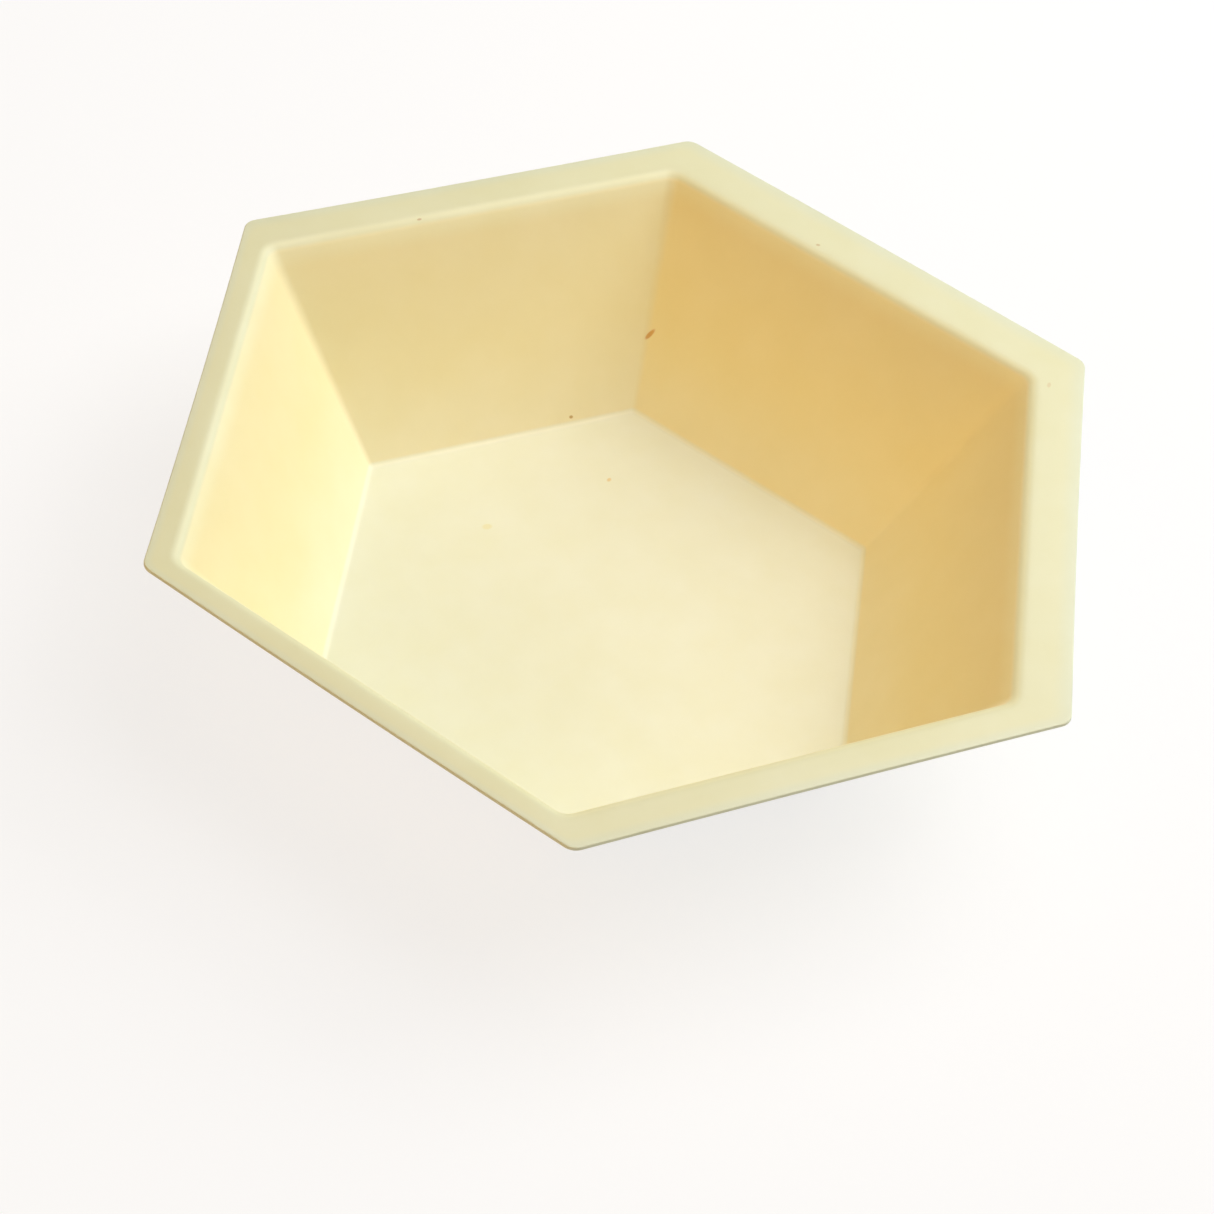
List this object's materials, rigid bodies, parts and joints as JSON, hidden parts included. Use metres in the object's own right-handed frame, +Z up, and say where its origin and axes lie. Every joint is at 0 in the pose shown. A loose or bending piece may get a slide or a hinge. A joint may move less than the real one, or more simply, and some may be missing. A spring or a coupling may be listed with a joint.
{
  "type": "weighing boat",
  "caption": "Hexagonal weighing boat: a shallow cup with sloping walls, a flat floor and a flat punched rim, drawn from one thin plastic sheet.",
  "frame": {"origin": "below the middle of the punched rim, at the height of the floor's underside", "axes": "+Z up, out of the cup's mouth; two flats of the rim face along X and two of its corners along Y"},
  "size_m": [0.077, 0.0884, 0.0187],
  "materials": {
    "polystyrene_sheet": "satin, slightly translucent cream"
  },
  "bodies": {
    "root": {"weighing_boat": "polystyrene_sheet"}
  },
  "joints": []
}
